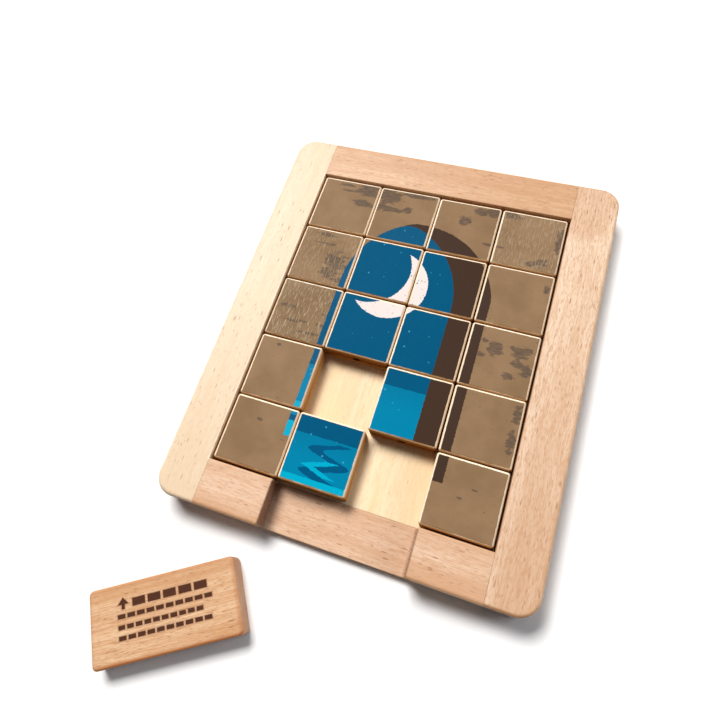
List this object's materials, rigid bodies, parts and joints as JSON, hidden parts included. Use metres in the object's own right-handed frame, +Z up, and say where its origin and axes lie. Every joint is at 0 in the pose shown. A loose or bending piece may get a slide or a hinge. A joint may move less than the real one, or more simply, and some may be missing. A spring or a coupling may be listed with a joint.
{
  "type": "sliding tile puzzle",
  "caption": "Shallow wooden tray with an exit channel in one rail, holding loose picture tiles that slide into two empty cells, and a separate lift-out block.",
  "frame": {"origin": "centre of the tray's underside, on the surface it rests on", "axes": "+X to the right across the four columns, +Y away from the exit channel along the five rows, +Z up out of the tray"},
  "size_m": [0.1692, 0.2604, 0.014],
  "materials": {
    "left_stile_wood": "clear-lacquered pale beech, satin, fine ray flecks",
    "right_stile_wood": "clear-lacquered pinkish beech, satin, fine ray flecks",
    "rail_wood": "clear-lacquered beech, satin, grain across",
    "floor_wood": "pale lacquered birch-faced panel, satin",
    "dowel_wood": "plain beech, raw",
    "tile_wall": "beech tile with a satin printed picture on both faces, brown sides",
    "tile_arch_top": "beech tile with a satin printed picture on both faces, brown sides",
    "tile_night": "beech tile with a satin printed picture on both faces, brown sides",
    "tile_sea": "beech tile with a satin printed picture on both faces, brown sides",
    "tile_wave": "beech tile with a satin printed picture on both faces, brown sides",
    "block_wood": "oiled beech, matt, dark laser-burnt mark"
  },
  "bodies": {
    "tray": {"left_stile": "left_stile_wood", "right_stile": "right_stile_wood", "top_rail": "rail_wood", "bottom_rail": "rail_wood", "floor_panel": "floor_wood", "dowel_far_left_inner": "dowel_wood", "dowel_far_left_outer": "dowel_wood", "dowel_far_right_inner": "dowel_wood", "dowel_far_right_outer": "dowel_wood", "dowel_near_left_inner": "dowel_wood", "dowel_near_left_outer": "dowel_wood", "dowel_near_right_inner": "dowel_wood", "dowel_near_right_outer": "dowel_wood"},
    "tile_r1c1": {"tile_r1c1": "tile_wall"},
    "tile_r1c2": {"tile_r1c2": "tile_arch_top"},
    "tile_r1c3": {"tile_r1c3": "tile_arch_top"},
    "tile_r1c4": {"tile_r1c4": "tile_wall"},
    "tile_r2c1": {"tile_r2c1": "tile_wall"},
    "tile_r2c2": {"tile_r2c2": "tile_night"},
    "tile_r2c3": {"tile_r2c3": "tile_night"},
    "tile_r2c4": {"tile_r2c4": "tile_wall"},
    "tile_r3c1": {"tile_r3c1": "tile_wall"},
    "tile_r3c2": {"tile_r3c2": "tile_night"},
    "tile_r3c3": {"tile_r3c3": "tile_night"},
    "tile_r3c4": {"tile_r3c4": "tile_wall"},
    "tile_r4c1": {"tile_r4c1": "tile_wall"},
    "tile_r4c3": {"tile_r4c3": "tile_sea"},
    "tile_r4c4": {"tile_r4c4": "tile_wall"},
    "tile_r5c1": {"tile_r5c1": "tile_wall"},
    "tile_r5c2": {"tile_r5c2": "tile_wave"},
    "tile_r5c4": {"tile_r5c4": "tile_wall"},
    "block": {"lift_out_block": "block_wood"}
  },
  "joints": [
    {"name": "lift_r1c1", "type": "slide", "parent": "tray", "child": "tile_r1c1", "axis": [0, 0, 1], "range_m": [0, 0.03]},
    {"name": "lift_r1c2", "type": "slide", "parent": "tray", "child": "tile_r1c2", "axis": [0, 0, 1], "range_m": [0, 0.03]},
    {"name": "lift_r1c3", "type": "slide", "parent": "tray", "child": "tile_r1c3", "axis": [0, 0, 1], "range_m": [0, 0.03]},
    {"name": "lift_r1c4", "type": "slide", "parent": "tray", "child": "tile_r1c4", "axis": [0, 0, 1], "range_m": [0, 0.03]},
    {"name": "lift_r2c1", "type": "slide", "parent": "tray", "child": "tile_r2c1", "axis": [0, 0, 1], "range_m": [0, 0.03]},
    {"name": "lift_r2c2", "type": "slide", "parent": "tray", "child": "tile_r2c2", "axis": [0, 0, 1], "range_m": [0, 0.03]},
    {"name": "lift_r2c3", "type": "slide", "parent": "tray", "child": "tile_r2c3", "axis": [0, 0, 1], "range_m": [0, 0.03]},
    {"name": "lift_r2c4", "type": "slide", "parent": "tray", "child": "tile_r2c4", "axis": [0, 0, 1], "range_m": [0, 0.03]},
    {"name": "lift_r3c1", "type": "slide", "parent": "tray", "child": "tile_r3c1", "axis": [0, 0, 1], "range_m": [0, 0.03]},
    {"name": "lift_r3c2", "type": "slide", "parent": "tray", "child": "tile_r3c2", "axis": [0, 0, 1], "range_m": [0, 0.03]},
    {"name": "lift_r3c3", "type": "slide", "parent": "tray", "child": "tile_r3c3", "axis": [0, 0, 1], "range_m": [0, 0.03]},
    {"name": "lift_r3c4", "type": "slide", "parent": "tray", "child": "tile_r3c4", "axis": [0, 0, 1], "range_m": [0, 0.03]},
    {"name": "lift_r4c1", "type": "slide", "parent": "tray", "child": "tile_r4c1", "axis": [0, 0, 1], "range_m": [0, 0.03]},
    {"name": "lift_r4c3", "type": "slide", "parent": "tray", "child": "tile_r4c3", "axis": [0, 0, 1], "range_m": [0, 0.03]},
    {"name": "lift_r4c4", "type": "slide", "parent": "tray", "child": "tile_r4c4", "axis": [0, 0, 1], "range_m": [0, 0.03]},
    {"name": "lift_r5c1", "type": "slide", "parent": "tray", "child": "tile_r5c1", "axis": [0, 0, 1], "range_m": [0, 0.03]},
    {"name": "slide_r5c2_y", "type": "slide", "parent": "tray", "child": "tile_r5c2", "axis": [0, 1, 0], "range_m": [-0.019, 0.03]},
    {"name": "slide_r5c4_x", "type": "slide", "parent": "tray", "child": "tile_r5c4", "axis": [-1, 0, 0], "range_m": [0, 0.03]},
    {"name": "lift_block", "type": "slide", "parent": "tray", "child": "block", "axis": [0, 0, 1], "range_m": [0, 0.03]}
  ]
}
